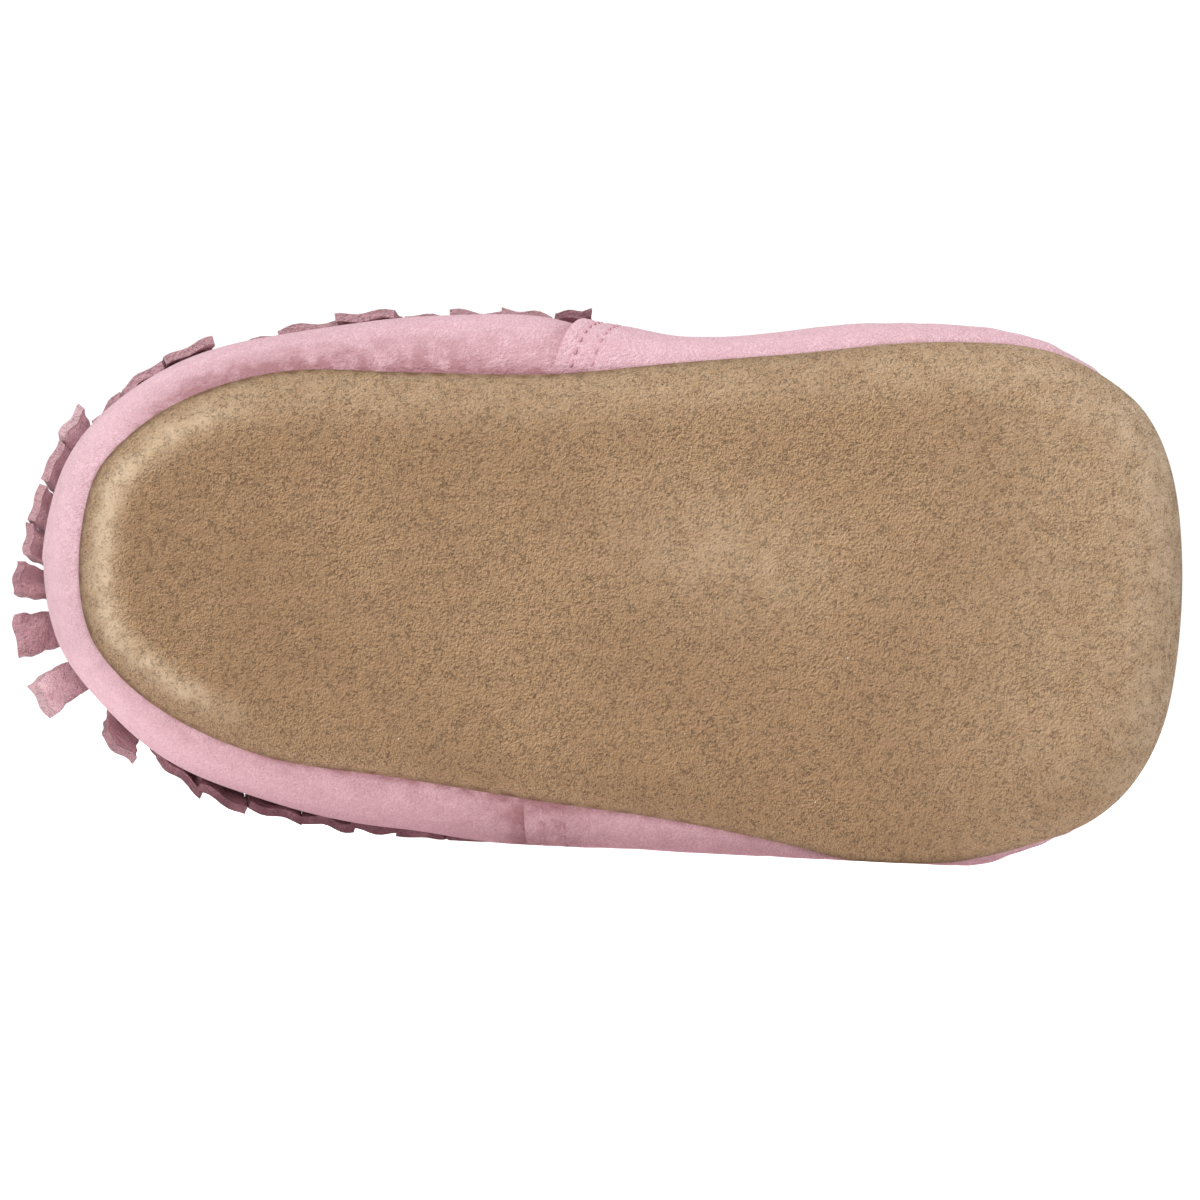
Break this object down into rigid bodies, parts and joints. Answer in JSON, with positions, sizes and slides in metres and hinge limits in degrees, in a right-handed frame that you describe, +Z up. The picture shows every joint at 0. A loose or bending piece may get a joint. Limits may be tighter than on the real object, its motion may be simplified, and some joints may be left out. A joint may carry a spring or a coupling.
{
  "type": "soft-sole baby shoe",
  "caption": "Left soft suede moccasin for a baby, turned-up suede sole, lapped front piece and fringed heel collar, lying on its outer side.",
  "frame": {"origin": "middle of the bounding box's bottom face, on the floor that the shoe lies on", "axes": "+X runs from the heel to the toe along the floor, -Y is the way the sole faces, +Z is up, towards the big-toe side"},
  "size_m": [0.1294, 0.049, 0.0597],
  "materials": {
    "sole_suede": "napped tan suede",
    "insole_lining": "plain matt lining leather",
    "upper_suede": "napped pink suede",
    "fringe_suede": "napped dusty mauve suede"
  },
  "bodies": {
    "root": {"outsole": "sole_suede", "insole": "insole_lining", "upper": "upper_suede", "heel_fringe": "fringe_suede"}
  },
  "joints": []
}
